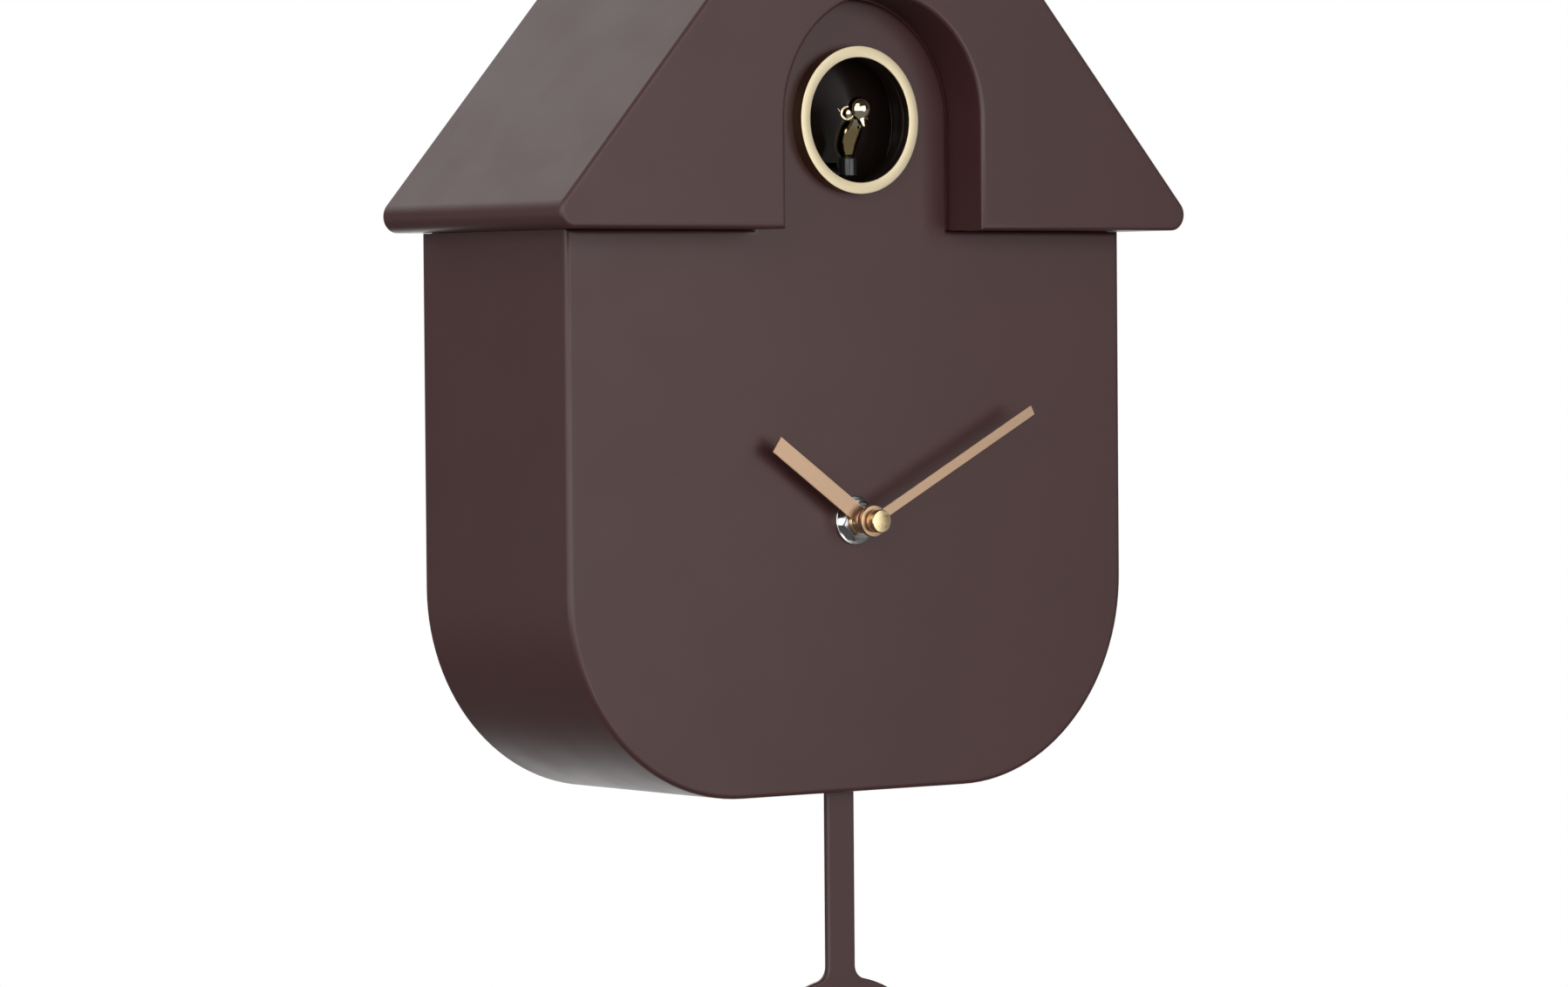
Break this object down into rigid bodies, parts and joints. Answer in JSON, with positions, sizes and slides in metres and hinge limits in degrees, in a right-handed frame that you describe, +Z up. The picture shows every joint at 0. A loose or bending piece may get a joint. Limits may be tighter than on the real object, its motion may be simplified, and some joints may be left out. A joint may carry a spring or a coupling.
{
  "type": "cuckoo clock",
  "caption": "Wall-hung house-shaped cuckoo clock with a hood roof, bird in a ringed window, two hands and a disc pendulum.",
  "frame": {"origin": "centre of the hanging hole, on the plane of the wall", "axes": "+Z up; +Y into the wall, so the dial faces -Y; +X to the right as seen from the front"},
  "size_m": [0.215, 0.0845, 0.4018],
  "materials": {
    "shell_brown": "satin, finely textured",
    "cover_black": "matte",
    "window_gold": "satin champagne gold",
    "bird_gold": "polished gold plate",
    "chamber_black": "glossy",
    "lever_grey": "glossy",
    "brass_plain": "turned",
    "steel": "brushed",
    "chrome": "polished",
    "hand_copper": "matte light copper",
    "cap_brass": "turned",
    "movement_black": "matte",
    "wheel_white": "matte",
    "copper_wire": "enamelled winding",
    "magnet_grey": "sintered",
    "board_green": "satin",
    "cell_sleeve": "satin",
    "knob_ivory": "matte",
    "cone_black": "matte",
    "lead_red": "matte"
  },
  "bodies": {
    "case": {"body_shell": "shell_brown", "roof_shell": "shell_brown", "back_cover": "cover_black", "cover_screws": "steel", "roof_screws": "steel", "window_ring": "window_gold", "bird_chamber": "chamber_black", "lever_pin": "steel", "solenoid_frame": "steel", "solenoid_coil": "copper_wire", "fixing_nut": "chrome", "fixing_washer": "chrome", "movement_front": "movement_black", "movement_rear": "movement_black", "motor_rotor": "magnet_grey", "motor_stator": "steel", "motor_coil": "copper_wire", "movement_board": "board_green", "clock_battery": "cell_sleeve", "pendulum_pin": "steel", "pendulum_drive_case": "movement_black", "pendulum_drive_coil": "copper_wire", "battery_holder": "movement_black", "sound_batteries": "cell_sleeve", "battery_contacts": "steel", "sound_board": "board_green", "speaker_frame": "steel", "speaker_cone": "cone_black", "wiring": "lead_red"},
    "minute_train": {"minute_arbor": "wheel_white", "minute_hand": "hand_copper", "hand_cap": "cap_brass"},
    "hour_train": {"hour_wheel": "wheel_white", "hour_hand": "hand_copper"},
    "motion_train": {"motion_wheel": "wheel_white", "setting_knob": "knob_ivory"},
    "third_train": {"third_wheel": "wheel_white"},
    "seconds_train": {"seconds_wheel": "wheel_white"},
    "bird_rocker": {"bird": "bird_gold", "bird_lever": "lever_grey", "lever_weight": "brass_plain"},
    "plunger": {"solenoid_plunger": "steel"},
    "pendulum": {"pendulum_rod": "shell_brown", "pendulum_bob": "shell_brown", "pendulum_hanger": "lever_grey", "pendulum_magnet": "magnet_grey"},
    "door": {"battery_door": "cover_black"},
    "switch": {"sound_switch": "knob_ivory"},
    "volume": {"volume_knob": "knob_ivory"}
  },
  "joints": [
    {"name": "minute_hand_turn", "type": "hinge", "parent": "case", "child": "minute_train", "pos_m": [0, -0.0645, -0.1555], "axis": [0, 1, 0], "continuous": true},
    {"name": "hour_hand_turn", "type": "hinge", "parent": "case", "child": "hour_train", "pos_m": [0, -0.0645, -0.1555], "axis": [0, 1, 0], "continuous": true},
    {"name": "motion_wheel_turn", "type": "hinge", "parent": "case", "child": "motion_train", "pos_m": [0, -0.0645, -0.1475], "axis": [0, 1, 0], "continuous": true},
    {"name": "third_wheel_turn", "type": "hinge", "parent": "case", "child": "third_train", "pos_m": [0.00703, -0.0645, -0.15806], "axis": [0, 1, 0], "continuous": true},
    {"name": "seconds_wheel_turn", "type": "hinge", "parent": "case", "child": "seconds_train", "pos_m": [0.01379, -0.0645, -0.1556], "axis": [0, 1, 0], "continuous": true},
    {"name": "pendulum_swing", "type": "hinge", "parent": "case", "child": "pendulum", "pos_m": [0, -0.0596, -0.192], "axis": [0, 1, 0], "range_deg": [-9, 9]},
    {"name": "bird_bow", "type": "hinge", "parent": "case", "child": "bird_rocker", "pos_m": [0, -0.0618, -0.0603], "axis": [1, 0, 0], "range_deg": [0, 8]},
    {"name": "plunger_lift", "type": "slide", "parent": "case", "child": "plunger", "axis": [0, 0, 1], "range_m": [0, 0.00194]},
    {"name": "door_hinge", "type": "hinge", "parent": "case", "child": "door", "pos_m": [0, -0.004, -0.131], "axis": [1, 0, 0], "range_deg": [0, 95]},
    {"name": "switch_slide", "type": "slide", "parent": "case", "child": "switch", "axis": [0, 0, 1], "range_m": [-0.003, 0.003]},
    {"name": "volume_turn", "type": "hinge", "parent": "case", "child": "volume", "pos_m": [-0.063, -0.004, -0.174], "axis": [0, 1, 0], "range_deg": [-140, 140]}
  ],
  "couplings": [
    {"joint": "hour_hand_turn", "follows": "minute_hand_turn", "ratio": 0.083333},
    {"joint": "motion_wheel_turn", "follows": "minute_hand_turn", "ratio": -0.33333},
    {"joint": "third_wheel_turn", "follows": "minute_hand_turn", "ratio": -7.5},
    {"joint": "seconds_wheel_turn", "follows": "minute_hand_turn", "ratio": 60},
    {"joint": "plunger_lift", "follows": "bird_bow", "m_per_rad": 0.0138}
  ]
}
